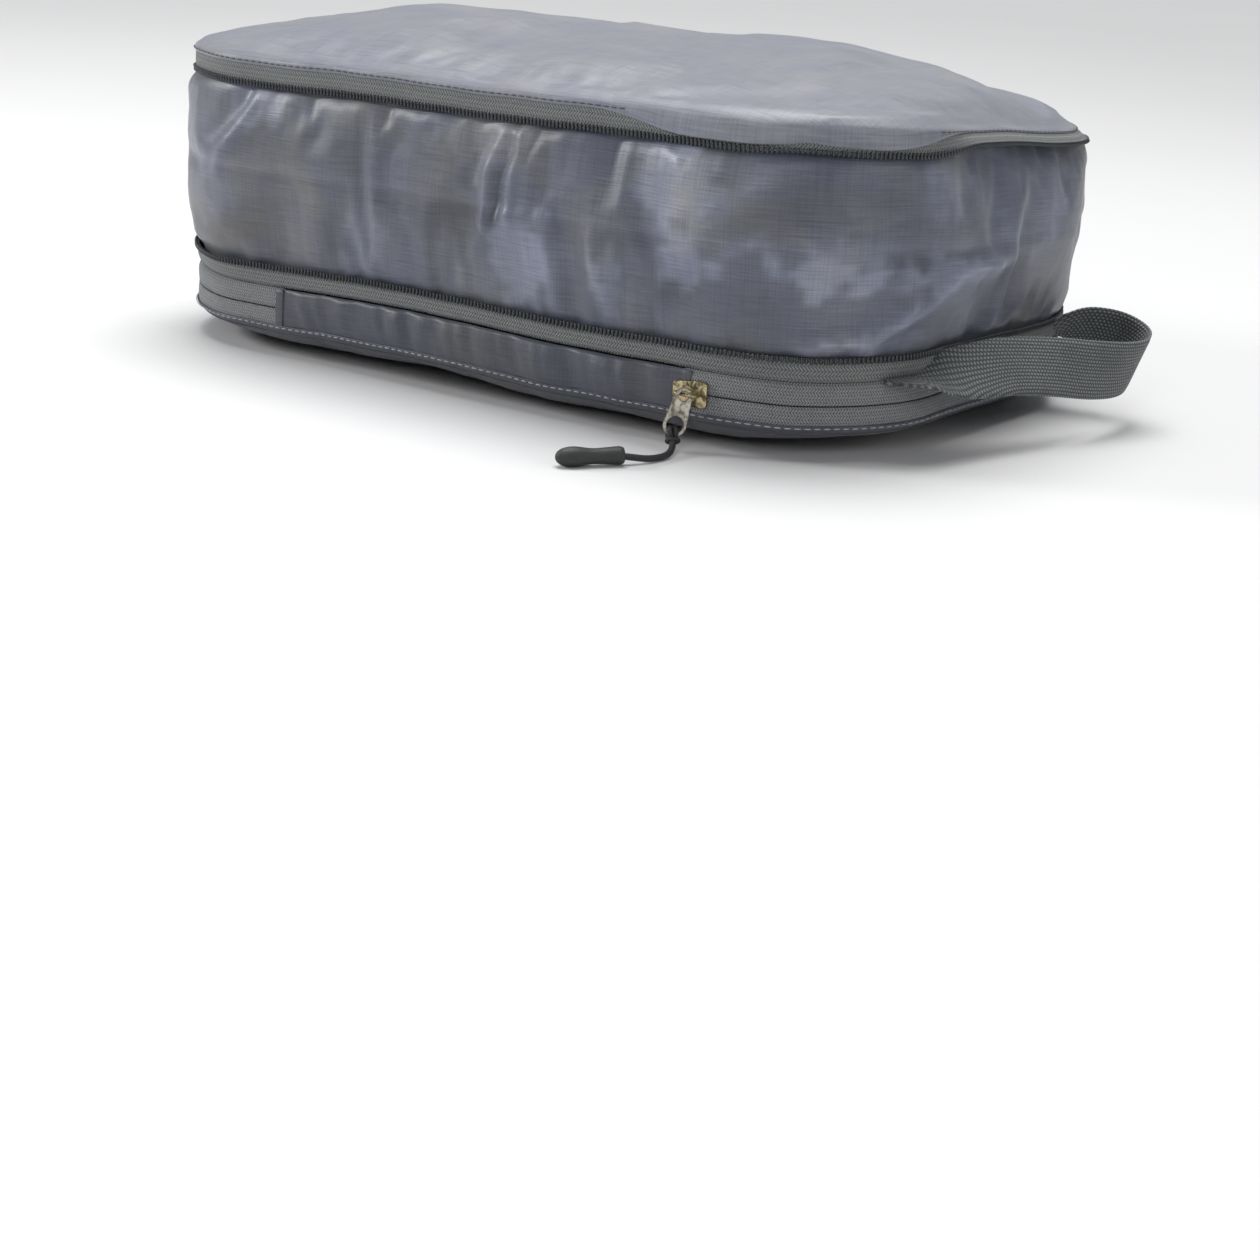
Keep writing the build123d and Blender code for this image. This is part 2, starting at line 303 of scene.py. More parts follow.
def basket_weave(name, color, light):
    """Coarse webbing: plump yarn ends in offset rows."""
    material, tree, shader = new_material(name, 0.62)
    u, v = cloth_axes(tree)
    across, along = 1.15 * MM, 1.4 * MM
    row = calc(tree, "FLOOR", calc(tree, "DIVIDE", v, across))
    shift = calc(tree, "MULTIPLY", calc(tree, "MODULO", row, 2.0), along / 2)
    end_u = calc(tree, "SINE", calc(tree, "MULTIPLY", calc(tree, "ADD", u, shift), math.pi / along))
    end_v = calc(tree, "SINE", calc(tree, "MULTIPLY", v, math.pi / across))
    lump = calc(tree, "MULTIPLY", calc(tree, "ABSOLUTE", end_u), calc(tree, "ABSOLUTE", end_v))
    fuzz = cloud(tree, 1.1 * MM, 2.0)
    worn = cloud(tree, 14 * MM, 2.0)
    lump = calc(tree, "POWER", lump, 1.5)
    tint = calc(tree, "MULTIPLY", lump, calc(tree, "MULTIPLY_ADD", worn, 1.0, 0.35))
    tint = calc(tree, "ADD", tint, calc(tree, "MULTIPLY", fuzz, 0.15))
    wire(tree, blend_colors(tree, tint, (*color, 1), (*light, 1)), shader.inputs["Base Color"])
    bump(tree, shader, calc(tree, "ADD", lump, calc(tree, "MULTIPLY", fuzz, 0.2)), 0.5 * MM, 0.9)
    shader.inputs["Sheen Weight"].default_value = 0.2
    return material


def moulded(name, dark, light, roughness, grain, depth):
    """Nylon coil, thread, braid or rubber: a fine grain with a little change of tone."""
    material, tree, shader = new_material(name, roughness)
    fine = cloud(tree, grain, 3.0)
    broad = cloud(tree, grain * 12, 2.0)
    tint = calc(tree, "ADD", calc(tree, "MULTIPLY", fine, 0.6), calc(tree, "MULTIPLY", broad, 0.5))
    wire(tree, blend_colors(tree, tint, (*dark, 1), (*light, 1)), shader.inputs["Base Color"])
    bump(tree, shader, fine, depth, 0.6)
    return material


def worn_metal(name, bright, tarnish, roughness):
    """Plated die-cast metal: blotchy tarnish, fine pits and brighter rubbed places."""
    material, tree, shader = new_material(name, roughness, 1.0)
    blotch = spread(tree, cloud(tree, 2.2 * MM, 4.0, 0.8), 0.4, 0.62)
    pits = cloud(tree, 0.35 * MM, 3.0)
    wire(tree, blend_colors(tree, blotch, (*bright, 1), (*tarnish, 1)), shader.inputs["Base Color"])
    gloss = calc(tree, "MULTIPLY_ADD", blotch, 0.22, roughness - 0.08)
    wire(tree, calc(tree, "MULTIPLY_ADD", pits, 0.1, gloss), shader.inputs["Roughness"])
    bump(tree, shader, pits, 0.12 * MM, 0.5)
    return material


def plain_floor():
    material, tree, shader = new_material("pale_floor", 0.75)
    faint = cloud(tree, 0.4, 2.0)
    tint = blend_colors(tree, faint, (0.60, 0.60, 0.60, 1), (0.64, 0.64, 0.64, 1))
    wire(tree, tint, shader.inputs["Base Color"])
    return material


SHELL = ripstop("shell_ripstop", (0.098, 0.107, 0.144), (0.126, 0.126, 0.130), 0.44)
# a darker copy of the shell cloth for the lid, hinge strip and end tabs: painted shade
SHADED_SHELL = ripstop("lid_ripstop", (0.058, 0.064, 0.088), (0.078, 0.078, 0.086), 0.46)
# a lighter copy of the shell cloth for the top panel: painted light from above
LIT_SHELL = ripstop("top_ripstop", (0.185, 0.195, 0.235), (0.210, 0.214, 0.235), 0.46)
TAPE = herringbone(
    "zip_tape_herringbone", (0.022, 0.024, 0.026), (0.25, 0.265, 0.26), 1.15 * MM, 1.5 * MM
)
FINE_TAPE = herringbone(
    "fine_zip_tape", (0.020, 0.022, 0.025), (0.33, 0.34, 0.35), 1.0 * MM, 1.1 * MM
)
WEBBING = basket_weave("handle_webbing_weave", (0.006, 0.008, 0.009), (0.20, 0.225, 0.22))
COIL = moulded(
    "coil_nylon", (0.012, 0.013, 0.016), (0.055, 0.058, 0.065), 0.35, 0.5 * MM, 0.05 * MM
)
DARK_THREAD = moulded(
    "dark_thread", (0.018, 0.020, 0.026), (0.07, 0.075, 0.09), 0.6, 0.3 * MM, 0.1 * MM
)
PALE_THREAD = moulded(
    "pale_thread", (0.20, 0.21, 0.24), (0.42, 0.43, 0.46), 0.6, 0.3 * MM, 0.1 * MM
)
BINDING = moulded(
    "binding_tape", (0.030, 0.033, 0.042), (0.09, 0.095, 0.11), 0.8, 0.6 * MM, 0.15 * MM
)
CORD = moulded(
    "black_braid", (0.006, 0.006, 0.007), (0.030, 0.030, 0.034), 0.65, 0.45 * MM, 0.2 * MM
)
RUBBER = moulded(
    "matt_black_rubber", (0.010, 0.012, 0.012), (0.032, 0.036, 0.035), 0.55, 0.9 * MM, 0.05 * MM
)
BRASS = worn_metal("aged_brass", (0.50, 0.42, 0.25), (0.11, 0.09, 0.05), 0.30)
NICKEL = worn_metal("worn_nickel", (0.58, 0.55, 0.47), (0.20, 0.18, 0.14), 0.32)


# ---------------------------------------------------------------- the cube's plan

SPANS = [
    ("line", Vector((-1, 0, 0)), SIDE_X),
    ("turn", Vector((-SIDE_X, SIDE_Y, 0)), ARC),
    ("line", Vector((0, -1, 0)), 2 * SIDE_Y),
    ("turn", Vector((-SIDE_X, -SIDE_Y, 0)), ARC),
    ("line", Vector((1, 0, 0)), 2 * SIDE_X),
    ("turn", Vector((SIDE_X, -SIDE_Y, 0)), ARC),
    ("line", Vector((0, 1, 0)), 2 * SIDE_Y),
    ("turn", Vector((SIDE_X, SIDE_Y, 0)), ARC),
    ("line", Vector((-1, 0, 0)), SIDE_X),
]


def clamp(value, low, high):
    return max(low, min(high, value))


def ease(value):
    value = clamp(value, 0.0, 1.0)
    return value * value * (3 - 2 * value)


def outward(p):
    """The level direction that points out of the cube's side at p."""
    core = Vector((clamp(p.x, -SIDE_X, SIDE_X), clamp(p.y, -SIDE_Y, SIDE_Y)))
    away = Vector((p.x, p.y)) - core
    if away.length < 1e-9:
        away = Vector((0, 1))
    away.normalize()
    return Vector((away.x, away.y, 0))


def around(x, y):
    """Where a point at or near the cube's side is on its outline.

    Gives the distance along the outline from the middle of the front, positive towards +X,
    and the distance outside the outline.
    """
    side = 1 if x >= 0 else -1
    ax = abs(x)
    if y < -SIDE_Y and ax <= SIDE_X:
        return side * ax, -y - HALF_W
    if y < -SIDE_Y:
        turn = math.atan2(ax - SIDE_X, -SIDE_Y - y)
        far = math.hypot(ax - SIDE_X, -SIDE_Y - y)
        return side * (SIDE_X + CORNER * turn), far - CORNER
    if y <= SIDE_Y:
        return side * (SIDE_X + ARC + y + SIDE_Y), ax - HALF_L
    if ax > SIDE_X:
        turn = math.atan2(y - SIDE_Y, ax - SIDE_X)
        far = math.hypot(ax - SIDE_X, y - SIDE_Y)
        return side * (SIDE_X + ARC + 2 * SIDE_Y + CORNER * turn), far - CORNER
    return side * (HALF_ROUND - ax), y - HALF_W


def wobble(p, size, seed=0.0):
    """Smooth noise from about -1 to 1 with features of that size, in metres."""
    place = Vector((p[0] / size + seed, p[1] / size - seed, p[2] / size + seed * 0.5))
    return noise.noise(place) * 1.6


def calm(p):
    """0 beside the sliders, where the zip is held flat, rising to 1 away from them."""
    main = (Vector((p.x, p.y)) - Vector((SIDE_X, -HALF_W))).length
    squeeze = (Vector((p.x, p.y)) - Vector((SQUEEZE_X, HALF_W))).length
    return ease((main - 11 * MM) / (24 * MM)) * ease((squeeze - 14 * MM) / (24 * MM))


def slacken(p):
    """The soft unevenness that every sewn piece of the cube shares."""
    still = calm(p)
    push = (0.9 * wobble(p, 62 * MM, 3.0) + 0.35 * wobble(p, 21 * MM, 8.0)) * MM * still
    lift = (0.8 * wobble(p, 75 * MM, 5.0) + 0.3 * wobble(p, 24 * MM, 1.0)) * MM * still
    return p + outward(p) * push + Vector((0, 0, lift))


# (middle and width along the outline, how far out and up the free edge lifts), in mm
HIGH_EDGE_LIFTS = [
    (122, 34, 2.4, 0.8),
    (-62, 60, 0.5, 0.3),
    (38, 24, 0.7, 0.2),
    (-200, 30, 1.0, 0.5),
    (350, 40, 0.8, 0.3),
]
LOW_EDGE_LIFTS = [
    (-118, 26, 1.8, -0.3),
    (-20, 50, 0.5, 0.0),
    (150, 30, 0.4, 0.2),
    (230, 30, 1.2, 0.3),
]


def lift_edge(p, lifts, seam, free):
    """The free coil edge of a compression zip half curls away from the gusset here and there."""
    share = clamp((p.z - seam) / (free - seam), 0, 1.3) ** 1.5
    t, _ = around(p.x, p.y)
    out = up = 0.0
    for middle, width, away, rise in lifts:
        near = math.exp(-(((t / MM) - middle) / width) ** 2)
        out += away * near
        up += rise * near
    free_share = MM * share * calm(p)
    return p + outward(p) * (out * free_share) + Vector((0, 0, up * free_share))


def sag(x, y):
    """The filled top leans down towards its right rear corner."""
    return -7.0 * MM * ease((x / MM - 58) / 98) * ease((y / MM + 70) / 150)


def window(t, start, end, soft):
    """1 between two places along the outline, easing to 0 outside them; in mm."""
    t = t / MM
    return ease((t - start + soft) / soft) * ease((end + soft - t) / soft)


def turn_out(p):
    """Along the right side the upper zip lies over, with its coil edge outermost."""
    t, out = around(p.x, p.y)
    amount = window(t, 205, 300, 35)
    share = clamp((RIM - p.z) / (RIM - HIGH_COIL), 0, 1)
    near_rim = ease(1 + out / (32 * MM))
    move = (-4.5 * (1 - share) + 1.2 * share) * near_rim
    rise = (4.2 * share - 1.0 * (1 - share)) * near_rim
    return p + outward(p) * (move * amount * MM) + Vector((0, 0, rise * amount * MM))


def top_shape(p):
    return slacken(turn_out(p)) + Vector((0, 0, sag(p.x, p.y)))


def high_zip(p):
    return top_shape(lift_edge(p, HIGH_EDGE_LIFTS, RIM, HIGH_COIL))


def low_zip(p):
    return slacken(lift_edge(p, LOW_EDGE_LIFTS, MID_SEAM, LOW_COIL))


# ---------------------------------------------------------------- building blocks

def finish_piece(bm, name, material):
    """A finished bmesh as an object with one material, shaded smooth."""
    mesh = bpy.data.meshes.new(name)
    for face in bm.faces:
        face.smooth = True
    bm.to_mesh(mesh)
    bm.free()
    mesh.materials.append(material)
    piece = bpy.data.objects.new(name, mesh)
    bpy.context.scene.collection.objects.link(piece)
    return piece


def solidify(piece):
    wall = piece.modifiers.new("thickness", "SOLIDIFY")
    wall.thickness = CLOTH_THICK
    wall.offset = -1.0
    return piece


def smooth(piece):
    rounder = piece.modifiers.new("smooth", "SUBSURF")
    rounder.levels = rounder.render_levels = 1


def chain(bm, points, closed):
    """A line of joined vertices at the middle of the back, from (out, z) pairs."""
    verts = [bm.verts.new((0, HALF_W + out, z)) for out, z in points]
    edges = [bm.edges.new(pair) for pair in zip(verts, verts[1:])]
    if closed:
        edges.append(bm.edges.new((verts[-1], verts[0])))
    return verts + edges


def sweep_round(bm, geom, step):
    """Carries a line at the middle of the back once round the plan and joins its ends."""
    for kind, where, length in SPANS:
        count = max(1, round(length / step))
        if kind == "line":
            done = bmesh.ops.spin(
                bm, geom=geom, cent=(0, 0, 0), axis=(0, 0, 1),
                dvec=where * (length / count), angle=0, steps=count,
            )
        else:
            done = bmesh.ops.spin(
                bm, geom=geom, cent=where, axis=(0, 0, 1),
                dvec=(0, 0, 0), angle=math.pi / 2, steps=count,
            )
        geom = done["geom_last"]
    bmesh.ops.remove_doubles(bm, verts=bm.verts, dist=1e-6)


def weave_map(bm, place, skirt=None):
    """Writes the UV map that the cloth materials read, in metres along the cloth.

    Faces where skirt says so are mapped as part of the wall.
    """
    layer = bm.loops.layers.uv.new("weave")
    for face in bm.faces:
        centre = face.calc_center_median()
        spot = wall_place if skirt and skirt(centre) else place
        middle = spot(centre)[0]
        for loop in face.loops:
            u, v = spot(loop.vert.co)
            if u - middle > HALF_ROUND / 2:
                u -= 2 * HALF_ROUND
            elif middle - u > HALF_ROUND / 2:
                u += 2 * HALF_ROUND
            loop[layer].uv = (u, v)


def wall_place(p):
    return around(p.x, p.y)[0], p.z


def flat_place(p):
    return p.x, p.y


def bend_all(bm, shape):
    for vert in bm.verts:
        vert.co = shape(vert.co.copy())


def keep_between(bm, left, right, inside):
    """Cuts the front of a ring at two places and keeps the part inside, or outside, them.

    Returns the edges left open.
    """
    for x in (left, right):
        geom = bm.verts[:] + bm.edges[:] + bm.faces[:]
        bmesh.ops.bisect_plane(bm, geom=geom, plane_co=(x, 0, 0), plane_no=(1, 0, 0), dist=1e-7)
    gone = []
    for face in bm.faces:
        c = face.calc_center_median()
        within = left < c.x < right and c.y < 0
        if within != inside:
            gone.append(face)
    bmesh.ops.delete(bm, geom=gone, context="FACES")
    return [edge for edge in bm.edges if edge.is_boundary]


def tape_section(low, high, crown, low_in=0.0, high_in=0.0):
    """A flat woven band standing on edge, a little crowned, with its ends turned in."""
    rows = 6
    outer, inner = [], []
    for k in range(rows + 1):
        share = k / rows
        out = crown * math.sin(math.pi * share)
        out -= low_in * (1 - ease(share * 4)) + high_in * (1 - ease((1 - share) * 4))
        z = low + (high - low) * share
        outer.append((out, z))
        inner.append((out - TAPE_THICK, z))
    return outer + inner[::-1]


def tape_ring(name, section, shape, material, body=None, cut=None):
    """A zip tape round the plan; cut gives the two places where the opening zip ends."""
    bm = bmesh.new()
    sweep_round(bm, chain(bm, section, True), RING_STEP)
    if cut:
        bmesh.ops.holes_fill(bm, edges=keep_between(bm, *cut, False), sides=0)
    bmesh.ops.recalc_face_normals(bm, faces=bm.faces)
    weave_map(bm, wall_place)
    bend_all(bm, shape)
    piece = finish_piece(bm, name, material)
    if body:
        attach(piece, body)
    return piece


def along_plan(item, pitch, phase=0.5):
    """Copies of a small mesh that stands at the middle of the back, all round the plan."""
    whole = bmesh.new()
    heading = 0.0
    start = Vector((0, HALF_W, 0))
    for kind, where, length in SPANS:
        count = max(1, round(length / pitch))
        turn = Matrix.Rotation(heading, 4, "Z")
        placed = Matrix.Translation(start) @ turn @ Matrix.Translation((0, -HALF_W, 0))
        row = item.copy()
        bmesh.ops.transform(row, matrix=placed, verts=row.verts)
        if kind == "line":
            step = where * (length / count)
            bmesh.ops.translate(row, vec=step * phase, verts=row.verts)
            if count > 1:
                bmesh.ops.spin(
                    row, geom=row.verts[:] + row.edges[:] + row.faces[:], cent=(0, 0, 0),
                    axis=(0, 0, 1), dvec=step, angle=0, steps=count - 1, use_duplicate=True,
                )
            start = start + where * length
        else:
            step = math.pi / 2 / count
            first_turn = Matrix.Rotation(step * phase, 3, "Z")
            bmesh.ops.rotate(row, cent=where, matrix=first_turn, verts=row.verts)
            if count > 1:
                bmesh.ops.spin(
                    row, geom=row.verts[:] + row.edges[:] + row.faces[:], cent=where,
                    axis=(0, 0, 1), dvec=(0, 0, 0), angle=step * (count - 1), steps=count - 1,
                    use_duplicate=True,
                )
            heading += math.pi / 2
            start = where + Matrix.Rotation(math.pi / 2, 3, "Z") @ (start - where)
        mesh = bpy.data.meshes.new("row")
        row.to_mesh(mesh)
        row.free()
        whole.from_mesh(mesh)
        bpy.data.meshes.remove(mesh)
    return whole


def drop_items(bm, unwanted):
    """Deletes each loose little item of a row whose place is unwanted."""
    seen, gone = set(), []
    for first in bm.verts:
        if first in seen:
            continue
        island, todo = [], [first]
        seen.add(first)
        while todo:
            vert = todo.pop()
            island.append(vert)
            for edge in vert.link_edges:
                other = edge.other_vert(vert)
                if other not in seen:
                    seen.add(other)
                    todo.append(other)
        middle = sum((v.co for v in island), Vector()) / len(island)
        if unwanted(middle):
            gone += island
    bmesh.ops.delete(bm, geom=gone, context="VERTS")


def rounded_bar(size, at, bevel):
    """A small bar with softened edges at the middle of the back; size and place in metres."""
    bm = bmesh.new()
    bmesh.ops.create_cube(bm, size=1.0)
    bmesh.ops.scale(bm, vec=size, verts=bm.verts)
    bmesh.ops.bevel(
        bm, geom=bm.edges[:], offset=bevel, segments=1, profile=0.5, affect="EDGES", material=-1,
    )
    bmesh.ops.translate(bm, vec=(at[0], HALF_W + at[1], at[2]), verts=bm.verts)
    return bm


def stitch_row(name, z, out, shape, material, body, pitch=STITCH_PITCH, only=None):
    """A row of machine stitches round the plan."""
    item = bmesh.new()
    bmesh.ops.create_uvsphere(item, u_segments=6, v_segments=4, radius=0.5)
    bmesh.ops.scale(item, vec=(pitch * 0.86, 0.42 * MM, 0.5 * MM), verts=item.verts)
    bmesh.ops.translate(item, vec=(0, HALF_W + out, z), verts=item.verts)
    row = along_plan(item, pitch)
    item.free()
    if only:
        drop_items(row, lambda p: not only(p))
    bend_all(row, shape)
    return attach(finish_piece(row, name, material), body)


# ---------------------------------------------------------------- zips

def coil_row(name, free, direction, out, shape, body, phase=0.5, skip=None):
    """A row of coil teeth on the free edge of a tape; direction is +1 where teeth point up."""
    long = 2.3 * MM
    item = rounded_bar(
        (0.86 * MM, 1.2 * MM, long), (0, out, free - direction * (long / 2 - 0.9 * MM)), 0.3 * MM
    )
    row = along_plan(item, TOOTH_PITCH, phase)
    item.free()
    if skip:
        drop_items(row, skip)
    bend_all(row, shape)
    piece = finish_piece(row, name, COIL)
    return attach(piece, body) if body else piece


def at_back_gap(p):
    """Where the compression zip starts and ends, on the back."""
    low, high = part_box("retainer_box")[0].x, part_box("compression_end_stop")[1].x
    return p.y > 0 and low - 5 * MM < p.x < high + 1 * MM


def in_hinge_strip(p):
    return p.y < 0 and ZIP_LEFT - 1 * MM < p.x < ZIP_RIGHT + 1 * MM


def compression_zip():
    proud = 0.45 * MM
    high = tape_section(HIGH_COIL - 0.3 * MM, RIM - 1.2 * MM, 0.35 * MM, high_in=0.25 * MM)
    upper_tape = tape_ring("upper_compression_tape", high, high_zip, TAPE, "top")
    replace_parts(upper_tape, "compression_tape_upper")
    low = tape_section(MID_SEAM + 0.1 * MM, LOW_COIL + 0.3 * MM, 0.35 * MM, low_in=0.9 * MM)
    lower_tape = tape_ring("lower_compression_tape", low, low_zip, TAPE, "tub")
    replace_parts(lower_tape, "compression_tape_lower")
    upper = coil_row(
        "upper_compression_coil", HIGH_COIL, -1, proud, high_zip, "top", skip=at_back_gap
    )
    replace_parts(upper, "compression_coil_upper")
    lower = coil_row(
        "lower_compression_coil", LOW_COIL, 1, proud, low_zip, "tub", skip=at_back_gap
    )
    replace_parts(lower, "compression_coil_lower")
    # Lockstitch chains hold each coil to its tape.
    for name, z, shape, body in (
        ("upper_coil_chain", HIGH_COIL + 1.0 * MM, high_zip, "top"),
        ("lower_coil_chain", LOW_COIL - 1.0 * MM, low_zip, "tub"),
    ):
        stitch_row(name, z, 1.05 * MM, shape, DARK_THREAD, body, TOOTH_PITCH)


def opening_zip():
    slit = 0.25 * MM
    lower = tape_section(LID_SEAM - 0.2 * MM, ZIP_LEVEL - slit, 0.22 * MM, low_in=0.4 * MM)
    ends = (ZIP_LEFT, ZIP_RIGHT)
    piece = tape_ring("opening_zip_lower_tape", lower, slacken, FINE_TAPE, "lid", ends)
    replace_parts(piece, "main_zip_tape_lower")
    upper = tape_section(ZIP_LEVEL + slit, MID_SEAM - 0.1 * MM, 0.22 * MM, high_in=0.9 * MM)
    piece = tape_ring("opening_zip_upper_tape", upper, slacken, FINE_TAPE, None, ends)
    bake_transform(piece)
    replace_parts(piece, "main_zip_tape_upper", "main_zip_tape_front")
    inside = -TAPE_THICK - 0.75 * MM
    lower_coil = coil_row(
        "opening_zip_lower_coil", ZIP_LEVEL, 1, inside, slacken, "lid", 0.25, skip=in_hinge_strip
    )
    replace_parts(lower_coil, "main_zip_coil_lower")
    upper_coil = coil_row(
        "opening_zip_upper_coil", ZIP_LEVEL, -1, inside, slacken, None, 0.75, skip=in_hinge_strip
    )
    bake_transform(upper_coil)
    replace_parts(upper_coil, "main_zip_coil_upper", "main_zip_coil_front")


# ---------------------------------------------------------------- shell fabric

FOLD_LEVEL = 67.0
CREASE_REACH = 60
# From the middle of a panel to its long edge, in mm.
RIM_REACH = 97
UNDER_COIL = HIGH_COIL / MM - 2
OVER_COIL = LOW_COIL / MM + 3

# Creases of the gusset: ((along, z), ...), width, height out of the cloth; all in mm.
# Along is measured on the outline from the middle of the front, positive to the right.
# Chosen on a 5 mm grid where no level is named.
CREASES = [
    (((-45, FOLD_LEVEL), (-40, OVER_COIL)), 1.6, 0.7),
    (((-90, UNDER_COIL), (-105, 75), (-110, 65)), 3.0, 1.0),
    (((30, UNDER_COIL), (20, 90), (15, 80), (15, 60)), 2.6, 1.7),
    (((30, UNDER_COIL), (25, 75), (25, 65)), 2.2, 1.3),
    (((25, UNDER_COIL), (20, 80), (20, 65)), 3.0, -1.5),
    (((40, FOLD_LEVEL), (45, OVER_COIL)), 4.0, 1.2),
    (((20, 65), (40, FOLD_LEVEL)), 4.0, 1.3),
    (((60, 65), (60, 55), (65, 45)), 3.0, 1.3),
    (((5, 45), (5, OVER_COIL)), 2.2, 0.8),
    (((115, 85), (105, 75), (95, 65)), 5.0, 1.4),
    (((90, UNDER_COIL), (95, 80), (90, 65)), 7.0, 1.2),
    (((110, 65), (120, 70), (125, 60)), 2.6, 1.4),
    (((135, FOLD_LEVEL), (155, FOLD_LEVEL)), 3.0, 1.5),
    (((135, 60), (145, 55), (160, 60)), 5.0, 1.0),
    (((170, 60), (170, 50), (165, 45)), 2.6, 1.3),
    (((155, 40), (165, 45), (175, 50), (190, 60), (210, 60)), 3.4, 1.7),
    (((210, 60), (245, 65), (275, 65)), 5.0, 1.0),
    (((175, UNDER_COIL), (175, 80)), 4.0, 1.2),
    (((135, OVER_COIL), (145, 40), (155, OVER_COIL)), 3.0, 1.4),
    (((95, UNDER_COIL), (100, 80)), 2.0, 0.7),
    (((225, 70), (220, OVER_COIL)), 2.0, 0.7),
    (((235, FOLD_LEVEL), (240, 40)), 1.8, 0.5),
    (((-150, 90), (-170, 60), (-160, 40)), 5.0, 1.4),
    (((-215, 90), (-230, 65)), 4.0, 1.2),
    (((-240, 60), (-205, 55), (-190, 40)), 4.0, 1.2),
    (((-300, 90), (-320, 70), (-350, 60)), 4.5, 1.5),
    (((-330, 60), (-320, 40)), 3.0, 1.0),
    (((-400, UNDER_COIL), (-390, 70)), 3.5, 1.2),
    (((-430, 65), (-445, 40)), 3.5, 1.2),
    (((300, UNDER_COIL), (310, 75), (300, 60)), 4.0, 1.4),
    (((320, 60), (345, 50), (350, 40)), 4.0, 1.4),
    (((370, 90), (385, 70), (410, 65)), 4.0, 1.5),
    (((400, 60), (395, 40)), 3.0, 1.0),
]

# Painted highlights: places where the cloth's colour is lightened as if it caught the light:
# (along, z, half width, half height, strength); in mm, chosen like the creases.
PAINTED_HIGHLIGHTS = [
    (30, 50, 12, 15, 0.9), (10, 90, 20, 8, 0.45), (-90, 90, 16, 8, 0.5), (90, 85, 16, 12, 0.9),
    (95, 60, 10, 8, 0.75), (140, 60, 16, 6, 0.9), (185, 60, 22, 5, 0.6), (185, 90, 10, 9, 0.5),
    (-40, 50, 10, 14, 0.3), (65, 50, 5, 12, 0.5), (145, 40, 9, 3, 0.7), (-130, 60, 14, 18, 0.4),
    (-180, 80, 20, 12, 0.5), (-260, 60, 16, 16, 0.6), (-350, 80, 24, 12, 0.6),
    (-410, 50, 14, 12, 0.6), (250, 80, 16, 12, 0.5), (330, 60, 20, 14, 0.6),
    (400, 80, 22, 12, 0.6), (440, 50, 12, 14, 0.5),
]


def painted_fold_light_and_shade(p):
    """How much painted highlight the gusset's colour gets at a place, from its folds and faces, with
    painted shade just below the mid fold.
    """
    t, _ = around(p.x, p.y)
    t_mm, z_mm = t / MM, p.z / MM
    # painted highlight on the crease ridges
    total = 0.42 * max(0.0, crease_height(t_mm, z_mm))
    ragged_t = t_mm + 7 * noise.noise(Vector((t_mm / 7, z_mm / 7, 0)))
    ragged_t += 2 * noise.noise(Vector((t_mm / 2, z_mm / 5, 4)))
    ragged_z = z_mm + 9 * noise.noise(Vector((t_mm / 7, z_mm / 9, 9)))
    ragged_z += 2 * noise.noise(Vector((t_mm / 2, z_mm / 3, 6)))
    for at_t, at_z, half_t, half_z, strength in PAINTED_HIGHLIGHTS:
        far = ((ragged_t - at_t) / half_t) ** 2 + ((ragged_z - at_z) / half_z) ** 2
        if far < 4:
            total += strength * (1 - ease((far - 0.6) / 0.75))
    dim = noise.noise(Vector((t_mm / 26, z_mm / 18, 3))) * 0.45
    # painted highlight just above the mid fold and painted shade just below it
    above = z_mm - fold_level(t_mm)
    line = 0.55 * math.exp(-abs(above - 1.6) / 1.8) - 0.5 * math.exp(-abs(above + 1.8) / 2.4)
    line *= 0.6 + 0.7 * noise.noise(Vector((t_mm / 20, 5, 0)))
    return clamp(total + dim + line, -0.5, 1.3)


def to_segment(t, z, a, b):
    """Distance from a segment on the unrolled gusset, in mm."""
    dx, dz = b[0] - a[0], b[1] - a[1]
    share = clamp(((t - a[0]) * dx + (z - a[1]) * dz) / (dx * dx + dz * dz), 0, 1)
    return math.hypot(t - a[0] - share * dx, z - a[1] - share * dz)


def fold_level(t):
    """Height of the fold half way up the gusset, a distance t along the outline; in mm."""
    return FOLD_LEVEL + 1.2 * noise.noise(Vector((t / 40, 0, 0)))


def fold_strength(t):
    """How sharp that fold is along the outline, about 0.25 to 1.25."""
    return 0.75 + 0.5 * noise.noise(Vector((t / 18, 5, 0)))


def crease_height(t, z):
    """How far all the creases together lift the cloth at a place; all in mm."""
    total = 0.0
    for points, width, height in CREASES:
        first, last = sorted((points[0][0], points[-1][0]))
        if not first - CREASE_REACH < t < last + CREASE_REACH:
            continue
        near = min(to_segment(t, z, a, b) for a, b in zip(points, points[1:]))
        total += height * math.exp(-(near / (0.8 * width)) ** 1.1)
    return total


